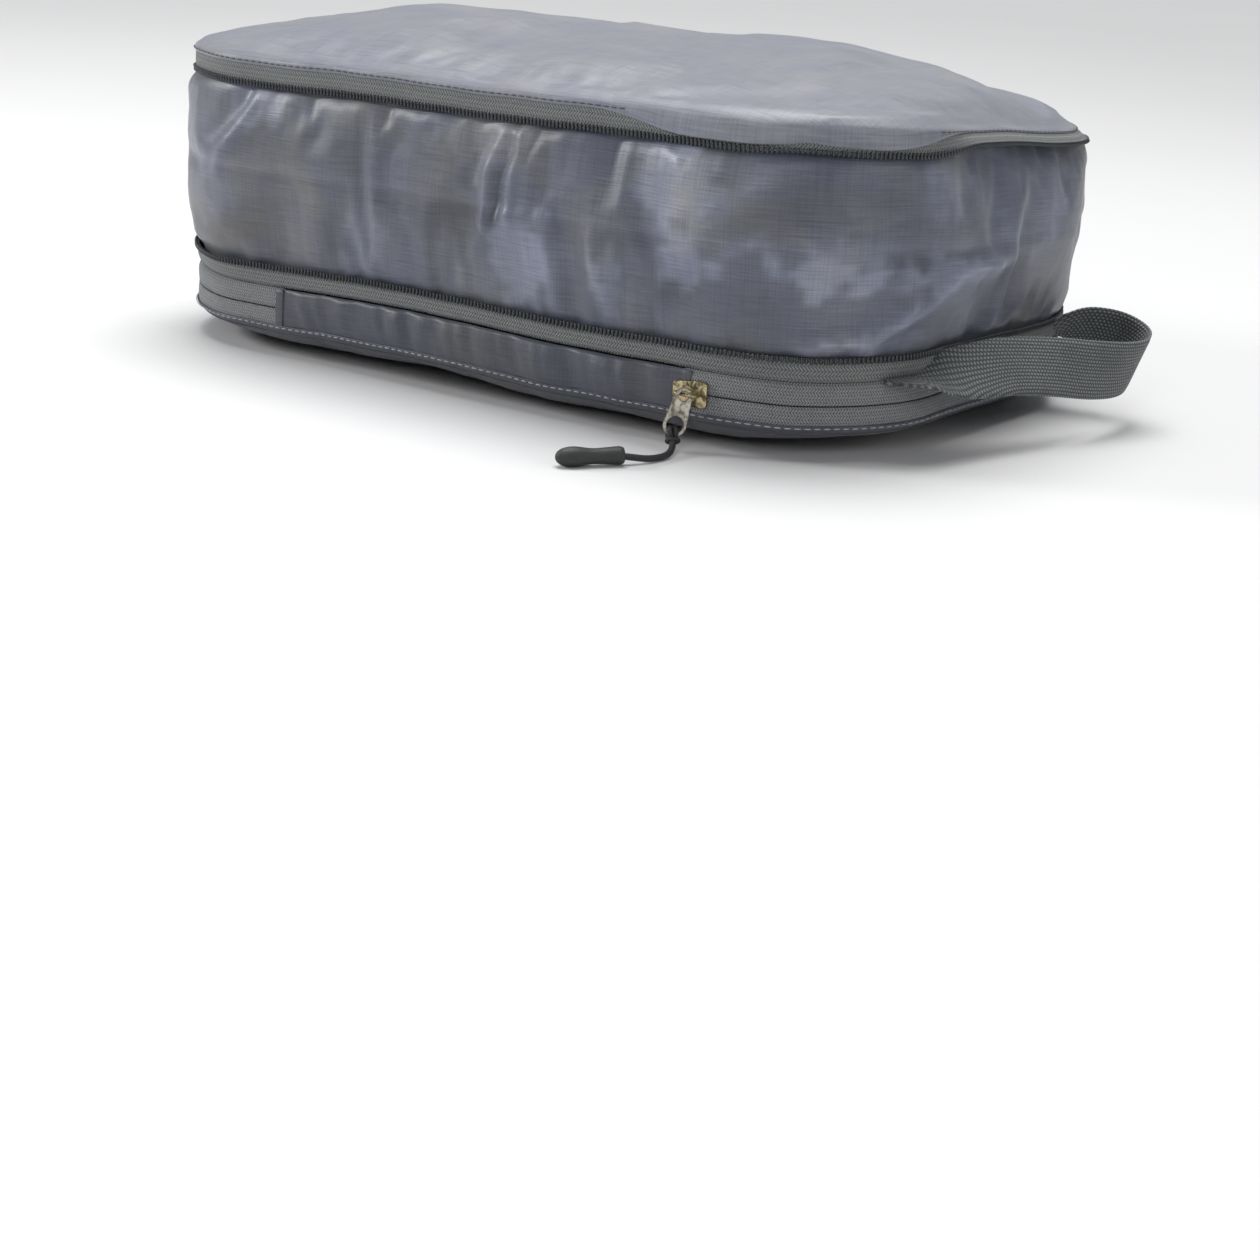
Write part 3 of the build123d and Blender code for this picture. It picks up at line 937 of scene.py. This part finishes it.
def gusset_out(p):
    """How far the gusset stands outside the outline at rest."""
    t, _ = around(p.x, p.y)
    t_mm, z_mm = t / MM, p.z / MM
    share = clamp((p.z - LOW_COIL) / (HIGH_COIL - LOW_COIL), 0, 1)
    full = math.sin(math.pi * share) ** 0.75 if 0 < share < 1 else 0.0
    from_edge = min(p.z - LOW_COIL, HIGH_COIL - p.z) / MM
    tucked = ease((from_edge + 1.5) / 6.0)
    swell = 1.6 * full
    slow = 1.1 * wobble(p, 58 * MM, 11.0) + 0.8 * wobble((p.x, p.y, p.z * 0.8), 26 * MM, 4.0)
    ridge = 1.0 - abs(wobble((p.x, p.y, p.z * 0.7), 34 * MM, 21.0)) * 1.3
    slow += 0.9 * max(0.0, ridge) ** 3
    gather = noise.noise(Vector((t_mm / 4.2, 7.0, z_mm / 30))) * 1.1
    gather += noise.noise(Vector((t_mm / 9.0, 2.0, z_mm / 40))) * 1.2
    gather *= math.exp(-max(0.0, from_edge) / 7.5) * (0.7 if share > 0.5 else 1.0)
    level = fold_level(t_mm)
    fold = -0.75 * math.exp(-abs(z_mm - level) / 3.2) * fold_strength(t_mm)
    facet = 0.5 * math.exp(-abs(z_mm - level - 7) / 9)
    out = (swell + slow * full + 0.5 * crease_height(t_mm, z_mm) + fold + facet) * tucked
    out += gather * ease((from_edge + 1.0) / 3.0) * 0.9
    out -= 1.5 * (1 - tucked)
    return out * MM * (0.35 + 0.65 * calm_gusset(p)) - 0.6 * MM * (1 - calm_gusset(p))


def calm_gusset(p):
    """The gusset lies flat behind the compression slider."""
    near = (Vector((p.x, p.y, p.z)) - Vector((SQUEEZE_X, HALF_W, LOW_COIL))).length
    return ease((near - 8 * MM) / (26 * MM))


def gusset_shape(p):
    share = clamp((p.z - MID_SEAM) / (RIM - MID_SEAM), 0, 1)
    out = outward(p) * (gusset_out(p) - TAPE_THICK)
    top = turn_out(Vector((p.x, p.y, RIM))) - Vector((p.x, p.y, RIM))
    pulled = top * ease((p.z - HIGH_COIL) / (RIM - HIGH_COIL))
    return slacken(p + out + pulled) + Vector((0, 0, sag(p.x, p.y) * share))


def settle(piece, sewn, pressure, growth, bending, frames, cap):
    """Lets a piece of cloth find its own creases, held where it is sewn.

    The cloth is cut a little larger than the shape it starts from and is filled from inside.
    It settles at ten times its size, and no point moves further than cap says.
    """
    ghost = bpy.data.objects.new("settling", piece.data.copy())
    bpy.context.scene.collection.objects.link(ghost)
    for vert in ghost.data.vertices:
        vert.co *= 10
    group = ghost.vertex_groups.new(name="sewn")
    group.add([v.index for v in piece.data.vertices if sewn(v.co)], 1.0, "REPLACE")
    cloth = ghost.modifiers.new("cloth", "CLOTH")
    rule = cloth.settings
    rule.quality = 6
    rule.mass = 0.1
    rule.tension_stiffness = rule.compression_stiffness = 15
    rule.shear_stiffness = 5
    rule.bending_stiffness = bending
    rule.use_pressure = True
    rule.uniform_pressure_force = pressure
    rule.shrink_min = -growth
    rule.vertex_group_mass = "sewn"
    rule.effector_weights.gravity = 0
    cloth.collision_settings.use_collision = False
    cloth.collision_settings.use_self_collision = False
    cloth.point_cache.frame_start = 1
    cloth.point_cache.frame_end = frames + 1
    for step in range(1, frames + 1):
        bpy.context.scene.frame_set(step)
    settled = ghost.evaluated_get(bpy.context.evaluated_depsgraph_get()).data
    for vert, found in zip(piece.data.vertices, settled.vertices):
        move = found.co / 10 - vert.co
        limit = cap(vert.co)
        if move.length > limit:
            move = move.normalized() * limit
        vert.co = vert.co + move
    bpy.data.objects.remove(ghost)
    bpy.context.scene.frame_set(1)


def make_gusset():
    bm = bmesh.new()
    bottom, top = MID_SEAM + 0.4 * MM, RIM - 1.5 * MM
    rows = 30
    line = [(0.0, bottom + (top - bottom) * k / rows) for k in range(rows + 1)]
    sweep_round(bm, chain(bm, line, False), 2.6 * MM)
    bmesh.ops.recalc_face_normals(bm, faces=bm.faces)
    first = bm.faces[:][0]
    if first.normal.dot(outward(first.calc_center_median())) < 0:
        bmesh.ops.reverse_faces(bm, faces=bm.faces)
    weave_map(bm, wall_place)
    bend_all(bm, gusset_shape)
    gusset = finish_piece(bm, "gusset_cloth", SHELL)
    settle(gusset, sewn_gusset, 0.12, 0.022, 0.35, 13, gusset_room)
    # the "fold" attribute carries painted light and shade for the ripstop material
    fold = gusset.data.attributes.new("fold", "FLOAT", "POINT")
    for vert in gusset.data.vertices:
        fold.data[vert.index].value = painted_fold_light_and_shade(vert.co)
        vert.co = press_creases(vert.co)
    solidify(gusset)
    smooth(gusset)
    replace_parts(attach(gusset, "tub"), "gusset")
    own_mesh(gusset)


def press_creases(p):
    """Sharpens the folds that stay in the cloth once it has settled."""
    t, _ = around(p.x, p.y)
    t_mm, z_mm = t / MM, p.z / MM
    tucked = ease((min(p.z - LOW_COIL, HIGH_COIL - p.z) / MM + 1.0) / 5.0)
    fold = -0.5 * math.exp(-abs(z_mm - fold_level(t_mm)) / 2.2) * fold_strength(t_mm)
    out = (1.5 * crease_height(t_mm, z_mm) + fold) * tucked * calm_gusset(p)
    # a dent above the slider, where the cord's end lies when the tab is up
    out -= 2.8 * math.exp(-(((t_mm - 90) / 15) ** 2) - ((z_mm - 54) / 14) ** 2)
    return p + outward(p) * out * MM


def sewn_gusset(p):
    """The gusset is held where it lies behind the two zip tapes."""
    return not LOW_COIL - 1.5 * MM < p.z < HIGH_COIL + 1.5 * MM


def gusset_room(p):
    """How far the gusset may move as it settles."""
    from_edge = min(p.z - LOW_COIL, HIGH_COIL - p.z)
    return 5.5 * MM * ease((from_edge + 1 * MM) / (9 * MM)) * (0.15 + 0.85 * calm_gusset(p))


def plan_map(u, v):
    """A square grid's point, from -1 to 1 both ways, moved onto the rounded plan."""
    x, y = u * HALF_L, v * HALF_W
    reach = max(abs(u), abs(v))
    if reach < 1e-9:
        return 0.0, 0.0
    edge = Vector((abs(x), abs(y))) / reach
    core = Vector((SIDE_X, SIDE_Y))
    a, b = edge.length_squared, -2 * edge.dot(core)
    c = core.length_squared - CORNER * CORNER
    root = b * b - 4 * a * c
    pull = 1.0
    if root > 0:
        k = (-b + math.sqrt(root)) / (2 * a)
        if k < 1 and k * edge.x > SIDE_X and k * edge.y > SIDE_Y:
            pull = k
    weight = reach ** 4
    scale = 1 - weight + weight * pull
    return x * scale, y * scale


def panel(columns, rows, height):
    """A rounded panel from a square grid; height(u, v, x, y, t) gives z."""
    bm = bmesh.new()
    bmesh.ops.create_grid(bm, x_segments=columns, y_segments=rows, size=1)
    for vert in bm.verts:
        u, v = vert.co.x, vert.co.y
        x, y = plan_map(u, v)
        reach = max(abs(u), abs(v), 1e-6)
        t, _ = around(*plan_map(u / reach, v / reach))
        vert.co = (x, y, height(u, v, x, y, t))
    return bm


def hem(bm, steps):
    """Turns the panel's edge over in a few small steps of (out, z)."""
    edges = [edge for edge in bm.edges if edge.is_boundary]
    for out, z in steps:
        done = bmesh.ops.extrude_edge_only(bm, edges=edges)
        edges = [g for g in done["geom"] if isinstance(g, bmesh.types.BMEdge)]
        for vert in {v for edge in edges for v in edge.verts}:
            _, now = around(vert.co.x, vert.co.y)
            vert.co = vert.co + outward(vert.co) * (out - now)
            vert.co.z = z


def dome_height(u, v, x, y, t):
    """Height of the filled top: a crown that leans to the left, with slow swells and puckers."""
    high = 10.2 * MM
    crown = (1 - abs(u) ** 4) * (1 - abs(v) ** 2.4)
    crown = max(0.0, crown) ** 0.9
    lean = 1 - 0.2 * u + 0.1 * v
    reach = max(abs(u), abs(v))
    from_rim = (1 - reach) * RIM_REACH
    slow = 1.6 * wobble((x, y, 0), 62 * MM, 6.0) + 1.0 * wobble((x, y, 0), 27 * MM, 2.0)
    ridge = max(0.0, 1.0 - abs(wobble((x * 0.6, y, 0), 38 * MM, 9.0)) * 1.4) ** 3
    slow += 1.3 * ridge
    pucker = noise.noise(Vector((t / MM / 6.0, 3.0, from_rim / 30))) * 1.3
    pucker += noise.noise(Vector((t / MM / 15.0, 9.0, from_rim / 40))) * 1.2
    pucker *= math.exp(-from_rim / 11) * (1 - math.exp(-from_rim / 2.0))
    z = RIM - 0.4 * MM + high * crown * lean + (slow * ease(from_rim / 30) + pucker) * MM
    return max(z, RIM - 0.4 * MM + 2.0 * MM * ease((from_rim - 0.5) / 3.0))


def make_top_panel():
    bm = panel(120, 76, dome_height)
    hem(bm, [
        (0.45 * MM, RIM - 1.0 * MM),
        (0.75 * MM, RIM - 1.9 * MM),
        (0.8 * MM, RIM - 2.9 * MM),
        (0.2 * MM, RIM - 3.2 * MM),
    ])
    bmesh.ops.recalc_face_normals(bm, faces=bm.faces)
    if sum(face.normal.z for face in bm.faces) < 0:
        bmesh.ops.reverse_faces(bm, faces=bm.faces)
    weave_map(bm, flat_place, lambda p: p.z < RIM - 0.5 * MM)
    piece = finish_piece(bm, "top_panel_cloth", LIT_SHELL)
    settle(piece, sewn_top, 0.12, 0.010, 0.3, 12, top_room)
    for vert in piece.data.vertices:
        vert.co = top_shape(overhang(vert.co))
    solidify(piece)
    smooth(piece)
    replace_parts(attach(piece, "top"), "top_panel")
    stitch_row(
        "top_panel_topstitch", RIM - 2.0 * MM, 0.95 * MM, top_shape, DARK_THREAD, "top",
        only=lambda p: window(around(p.x, p.y)[0], 92, 155, 36) < 0.3,
    )


def overhang(p):
    """At the front right corner the hem rolls down over the zip tape."""
    if p.z > RIM:
        return p
    amount = window(around(p.x, p.y)[0], 92, 155, 36)
    drop = (RIM - p.z) * 1.5 * amount
    return p + outward(p) * (drop * 0.22) + Vector((0, 0, -drop))


def sewn_top(p):
    """The hem and the outermost strip of the top panel stay where they are sewn."""
    return p.z < RIM + 0.1 * MM or around(p.x, p.y)[1] > -1.5 * MM


def top_room(p):
    """How far the top may move as it settles: less near its seam, and never past the dome."""
    return min(3 * MM * ease(-around(p.x, p.y)[1] / (16 * MM)), max(0.0, DOME_TOP - p.z))


def belly_height(u, v, x, y, t):
    """Height of the lid panel: flat on the floor, rising to its seam round the edge."""
    full = (1 - abs(u) ** 9) * (1 - abs(v) ** 7)
    reach = max(abs(u), abs(v))
    from_rim = (1 - reach) * RIM_REACH
    pucker = noise.noise(Vector((t / MM / 7.0, 5.0, from_rim / 30))) * 1.2 * math.exp(-from_rim / 9)
    slow = 0.8 * wobble((x, y, 0), 40 * MM, 14.0)
    z = LID_SEAM - (LID_SEAM - 0.3 * MM) * max(0.0, full) ** 0.8
    z += (slow + pucker) * MM * ease(from_rim / 8) * (1 - ease((from_rim - 14) / 10))
    return max(0.15 * MM, z)


def make_lid_panel():
    bm = panel(110, 70, belly_height)
    hem(bm, [
        (0.45 * MM, LID_SEAM + 0.2 * MM),
        (0.75 * MM, LID_SEAM + 0.9 * MM),
        (0.35 * MM, LID_SEAM + 1.3 * MM),
    ])
    bmesh.ops.recalc_face_normals(bm, faces=bm.faces)
    if sum(face.normal.z for face in bm.faces) > 0:
        bmesh.ops.reverse_faces(bm, faces=bm.faces)
    weave_map(bm, flat_place, lambda p: around(p.x, p.y)[1] > -4 * MM)
    bend_all(bm, lambda p: rest_on_floor(slacken(p)))
    piece = solidify(finish_piece(bm, "lid_panel_cloth", SHADED_SHELL))
    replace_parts(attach(piece, "lid"), "lid_panel")
    stitch_row("lid_panel_topstitch", LID_SEAM + 0.5 * MM, 0.95 * MM, slacken, PALE_THREAD, "lid")


def rest_on_floor(p):
    p.z = max(0.1 * MM, p.z)
    return p


def strip_out(p):
    """The plain hinge strip puffs out between its seams, with a few upright pleats."""
    share = clamp((p.z - LID_SEAM) / (MID_SEAM - LID_SEAM), 0, 1)
    t = around(p.x, p.y)[0] / MM
    slant = t + (p.z / MM - 18) * 0.35
    pleat = 2.0 * noise.noise(Vector((slant / 9, 2, p.z / MM / 30)))
    pleat += 0.9 * noise.noise(Vector((slant / 3.6, 4, p.z / MM / 22)))
    puff = (1.5 + pleat) * math.sin(math.pi * share) ** 0.7 if 0 < share < 1 else 0.0
    ends = min(p.x - ZIP_LEFT, ZIP_RIGHT - p.x) / (10 * MM)
    return (puff * (0.25 + 0.75 * ease(ends)) - 0.1) * MM


def make_hinge_strip():
    bm = bmesh.new()
    rows = 10
    line = [(0.0, LID_SEAM + (MID_SEAM - 0.2 * MM - LID_SEAM) * k / rows) for k in range(rows + 1)]
    sweep_round(bm, chain(bm, line, False), 1.6 * MM)
    keep_between(bm, ZIP_LEFT - 1.5 * MM, ZIP_RIGHT + 1.5 * MM, True)
    bmesh.ops.recalc_face_normals(bm, faces=bm.faces)
    if sum(face.normal.y for face in bm.faces) > 0:
        bmesh.ops.reverse_faces(bm, faces=bm.faces)
    weave_map(bm, wall_place)
    bend_all(bm, lambda p: slacken(p + outward(p) * strip_out(p)))
    piece = solidify(finish_piece(bm, "hinge_strip_cloth", SHADED_SHELL))
    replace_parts(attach(piece, "lid"), "hinge_strip")


def make_end_tabs():
    """A folded strip of shell fabric closes each end of the opening zip."""
    whole = bmesh.new()
    for x in (ZIP_LEFT - 1.5 * MM, ZIP_RIGHT + 1.5 * MM):
        tab = bmesh.new()
        bmesh.ops.create_cube(tab, size=1.0)
        bmesh.ops.scale(tab, vec=(3.4 * MM, 0.7 * MM, MID_SEAM - LID_SEAM - 0.6 * MM), verts=tab.verts)
        upright = [e for e in tab.edges if abs(e.verts[0].co.z - e.verts[1].co.z) > MM]
        bmesh.ops.bevel(
            tab, geom=upright, offset=0.3 * MM, segments=3, profile=0.5, affect="EDGES", material=-1,
        )
        bmesh.ops.subdivide_edges(
            tab, edges=[e for e in tab.edges if abs(e.verts[0].co.z - e.verts[1].co.z) > MM], cuts=8,
            use_grid_fill=True,
        )
        middle = (LID_SEAM + MID_SEAM) / 2
        bmesh.ops.translate(tab, vec=(x, -HALF_W - 0.15 * MM, middle), verts=tab.verts)
        mesh = bpy.data.meshes.new("tab")
        tab.to_mesh(mesh)
        tab.free()
        whole.from_mesh(mesh)
        bpy.data.meshes.remove(mesh)
    weave_map(whole, wall_place)
    bend_all(whole, slacken)
    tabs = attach(finish_piece(whole, "zip_end_tabs_cloth", SHADED_SHELL), "lid")
    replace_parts(tabs, "zip_end_tabs")


# ---------------------------------------------------------------- handle

# Middle of the webbing and the direction across it, from root to root; in mm.
WEB_PATH = [
    ((149.5, -55.0, 26.1), (0.30, 0.95, 0.00)),
    ((156.0, -55.5, 26.4), (0.20, 0.98, 0.05)),
    ((161.5, -47.0, 27.0), (0.02, 0.97, 0.24)),
    ((166.0, -35.0, 27.6), (-0.18, 0.84, 0.50)),
    ((171.5, -19.0, 28.0), (-0.32, 0.50, 0.80)),
    ((178.5, -1.0, 26.4), (-0.28, 0.26, 0.93)),
    ((185.0, 18.0, 23.6), (-0.05, 0.12, 0.99)),
    ((188.5, 35.0, 21.8), (0.16, 0.06, 0.98)),
    ((188.5, 48.0, 22.0), (0.30, 0.08, 0.95)),
    ((183.5, 58.0, 24.0), (0.28, 0.12, 0.95)),
    ((175.0, 62.0, 26.4), (0.10, 0.00, 0.99)),
    ((166.0, 58.5, 27.8), (0.02, -0.22, 0.97)),
    ((159.0, 54.5, 27.4), (-0.08, -0.66, 0.74)),
    ((154.5, 54.0, 26.3), (-0.25, -0.95, 0.18)),
    ((149.5, 54.0, 26.0), (-0.30, -0.95, 0.00)),
]
WEB_WIDE = 20 * MM
WEB_THICK = 1.3 * MM


def spline_at(points, share):
    """A smooth curve through a list of vectors, share from 0 to 1."""
    place = share * (len(points) - 1)
    k = min(int(place), len(points) - 2)
    f = place - k
    a = points[max(k - 1, 0)]
    b, c = points[k], points[k + 1]
    d = points[min(k + 2, len(points) - 1)]
    curve = 2 * b + (c - a) * f + (2 * a - 5 * b + 4 * c - d) * f * f
    curve += (3 * b - a - 3 * c + d) * f ** 3
    return 0.5 * curve


def web_section():
    """The webbing's outline as a closed list of points: x across it, z out of its face."""
    columns = 10
    section = []
    for face_side in (1, -1):
        for k in range(columns + 1):
            across = (k / columns - 0.5) * face_side
            edge = 1 - 0.45 * abs(2 * across) ** 10
            section.append(Vector((across * WEB_WIDE, 0, 0.5 * WEB_THICK * edge * face_side)))
    return section


def make_handle():
    middles = [Vector(m) * MM for m, _ in WEB_PATH]
    sides = [Vector(s) for _, s in WEB_PATH]
    stations = 130
    places = [spline_at(middles, k / stations) for k in range(stations + 1)]
    bm = bmesh.new()
    layer = bm.loops.layers.uv.new("weave")
    verts = [bm.verts.new(point) for point in web_section()]
    edges = [bm.edges.new(pair) for pair in zip(verts, verts[1:] + verts[:1])]
    now = Matrix.Identity(4)
    travelled = 0.0
    # where each vertex is on the webbing: station number and distance from the first root
    station_of, distance_of = {}, {}
    for k, place in enumerate(places):
        ahead = (places[min(k + 1, stations)] - places[max(k - 1, 0)]).normalized()
        side = spline_at(sides, k / stations)
        side = (side - ahead * side.dot(ahead)).normalized()
        up = ahead.cross(side)
        target = Matrix((side, ahead, up)).transposed().to_4x4()
        target.translation = place
        if k:
            done = bmesh.ops.extrude_edge_only(bm, edges=edges)
            edges = [g for g in done["geom"] if isinstance(g, bmesh.types.BMEdge)]
            verts = list({v for edge in edges for v in edge.verts})
            travelled += (place - places[k - 1]).length
        bmesh.ops.transform(bm, matrix=target @ now.inverted(), verts=verts)
        now = target
        for vert in verts:
            station_of[vert], distance_of[vert] = k, travelled
    bmesh.ops.holes_fill(bm, edges=[e for e in bm.edges if e.is_boundary], sides=0)
    bmesh.ops.recalc_face_normals(bm, faces=bm.faces)
    for face in bm.faces:
        for loop in face.loops:
            vert = loop.vert
            k = station_of[vert]
            side = spline_at(sides, k / stations).normalized()
            loop[layer].uv = (distance_of[vert], (vert.co - places[k]).dot(side))
    handle = finish_piece(bm, "handle_webbing_strap", WEBBING)
    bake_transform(handle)
    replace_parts(handle, "handle_webbing")


# ---------------------------------------------------------------- pull cord

CORD_D = 2.2 * MM
CORD_ROUTE = [
    (0.0979, -0.1052, 0.0039),
    (0.0999, -0.1080, 0.0025),
    (0.1013, -0.1124, 0.0013),
    (0.1014, -0.1176, 0.0012),
    (0.1000, -0.1230, 0.0015),
    (0.0972, -0.1282, 0.0026),
    (0.0939, -0.1329, 0.0032),
    (0.0906, -0.1373, 0.0032),
]


def round_spline(name, points, diameter, material, closed=False):
    """A round cord along a list of points."""
    curve = bpy.data.curves.new(name, "CURVE")
    curve.dimensions = "3D"
    spline = curve.splines.new("NURBS")
    spline.points.add(len(points) - 1)
    for point, place in zip(spline.points, points):
        point.co = (*place, 1)
    spline.order_u = 3
    if closed:
        spline.use_cyclic_u = True
    else:
        spline.use_endpoint_u = True
    spline.resolution_u = 10
    curve.bevel_depth = diameter / 2
    curve.bevel_resolution = 4
    curve.use_fill_caps = True
    curve.materials.append(material)
    piece = bpy.data.objects.new(name, curve)
    bpy.context.scene.collection.objects.link(piece)
    return piece


def make_cord():
    cord = round_spline("pull_cord", CORD_ROUTE, CORD_D, CORD)
    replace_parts(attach(cord, "pull_cord"), "main_cord")
    # The lark's head: two turns over the tab's rim, side by side, and a bar across them.
    centre = Vector(JOINTS["cord_swing"]["pos_m"])
    across = -Vector(JOINTS["cord_swing"]["axis"]).normalized()
    ahead = across.cross(Vector((0, 0, 1))).normalized()
    pieces = []
    for k, shift in enumerate((-1, 1)):
        ring = []
        for angle in range(0, 360, 45):
            a = math.radians(angle)
            at = centre + across * (shift * 0.95 * MM)
            at += ahead * (math.cos(a) * 1.95 * MM + 0.3 * MM)
            ring.append(at + Vector((0, 0, math.sin(a) * 2.35 * MM)))
        turn = round_spline(f"cord_turn_{k + 1}", ring, 1.7 * MM, CORD, True)
        pieces.append(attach(turn, "pull_cord"))
    bar = []
    for angle in range(0, 360, 45):
        a = math.radians(angle)
        at = centre + ahead * (2.1 * MM + math.cos(a) * 0.9 * MM)
        at += across * (math.sin(a) * 2.0 * MM)
        bar.append(at + Vector((0, 0, -1.6 * MM + math.cos(a) * 0.8 * MM)))
    pieces.append(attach(round_spline("cord_hitch_bar", bar, 1.5 * MM, CORD, True), "pull_cord"))
    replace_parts(pieces[0], "cord_loop")


# ---------------------------------------------------------------- CAD parts that stay

KEPT = {
    "main_slider": BRASS,
    "main_slider_bail": BRASS,
    "main_pull_tab": NICKEL,
    "compression_slider": BRASS,
    "compression_slider_bail": BRASS,
    "compression_pull_tab": NICKEL,
    "retainer_box": COIL,
    "compression_end_stop": COIL,
    "insertion_pin": COIL,
    "cord_end": RUBBER,
}


def make_bindings():
    """Bias tape over the raw edges inside each seam, following the seam."""
    for node, body, shape in (
        ("lid_seam_binding", "lid", slacken),
        ("tub_seam_binding", "tub", slacken),
        ("top_seam_binding", "top", top_shape),
    ):
        low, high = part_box(node)
        inside = high.y - HALF_W
        top = min(high.z - 0.9 * MM, RIM + 0.2 * MM)
        middle = (low.z + top) / 2
        section = [
            (inside, low.z),
            (inside - 0.5 * MM, low.z - 0.3 * MM),
            (inside - 1 * MM, low.z),
            (inside - 1.2 * MM, middle),
            (inside - 1 * MM, top),
            (inside - 0.5 * MM, top + 0.3 * MM),
            (inside, top),
            (inside + 0.2 * MM, middle),
        ]
        bm = bmesh.new()
        sweep_round(bm, chain(bm, section, True), 3 * MM)
        bmesh.ops.recalc_face_normals(bm, faces=bm.faces)
        bend_all(bm, shape)
        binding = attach(finish_piece(bm, node + "_tape", BINDING), body)
        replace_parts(binding, node)


def dress_kept_parts():
    """The hard parts stay as they are in the frame and only get their materials."""
    for name, material in KEPT.items():
        node = frame["nodes"][name]
        if not node.material_slots:
            node.data.materials.append(material)
        for material_slot in node.material_slots:
            material_slot.material = material


make_camera()
make_studio()
make_cord()
compression_zip()
opening_zip()
make_gusset()
make_top_panel()
make_lid_panel()
make_hinge_strip()
make_end_tabs()
make_bindings()
make_handle()
dress_kept_parts()
make_floor()

bpy.context.view_layer.update()
